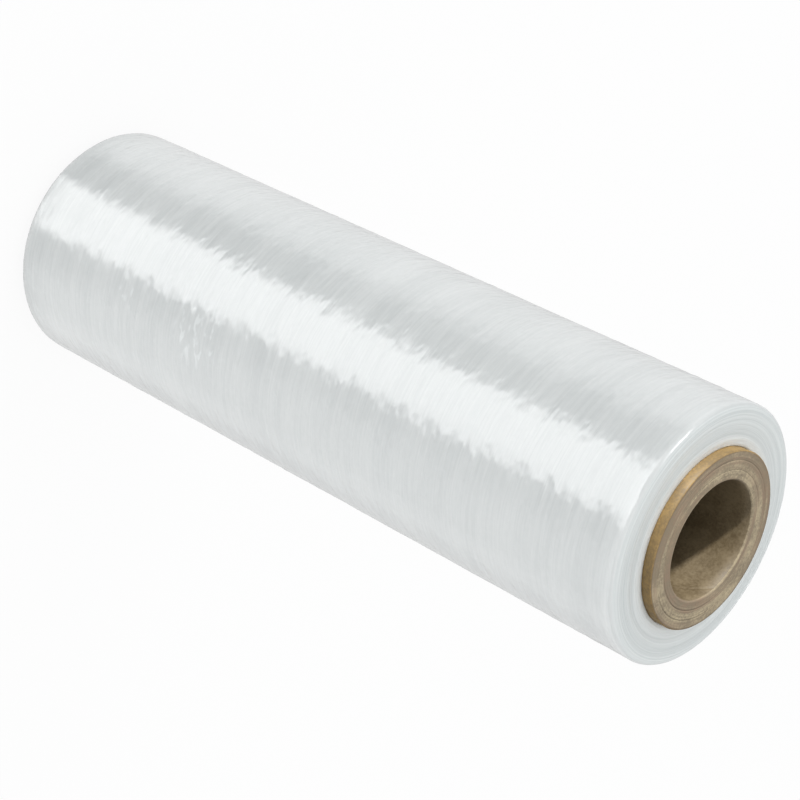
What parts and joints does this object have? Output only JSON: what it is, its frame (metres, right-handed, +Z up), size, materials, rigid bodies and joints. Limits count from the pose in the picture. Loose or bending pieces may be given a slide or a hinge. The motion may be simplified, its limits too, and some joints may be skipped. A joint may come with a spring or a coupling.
{
  "type": "stretch wrap roll",
  "caption": "A roll of clear stretch film wound tightly on a thick paper tube that stands out a little at both ends, for wrapping pallets and parcels by hand.",
  "frame": {"origin": "centre of the paper tube's lower end, which the roll stands on", "axes": "+Z up along the roll's axis; X and Y across it, with the film's loose end at about 118 degrees from +X towards +Y"},
  "size_m": [0.111, 0.1112, 0.3642],
  "materials": {
    "paperboard": "raw brown paperboard, cut ends slightly fuzzy",
    "clear_film": "glossy clear film, milky pale grey where wound up"
  },
  "bodies": {
    "root": {"core_tube": "paperboard", "film_roll": "clear_film"}
  },
  "joints": []
}
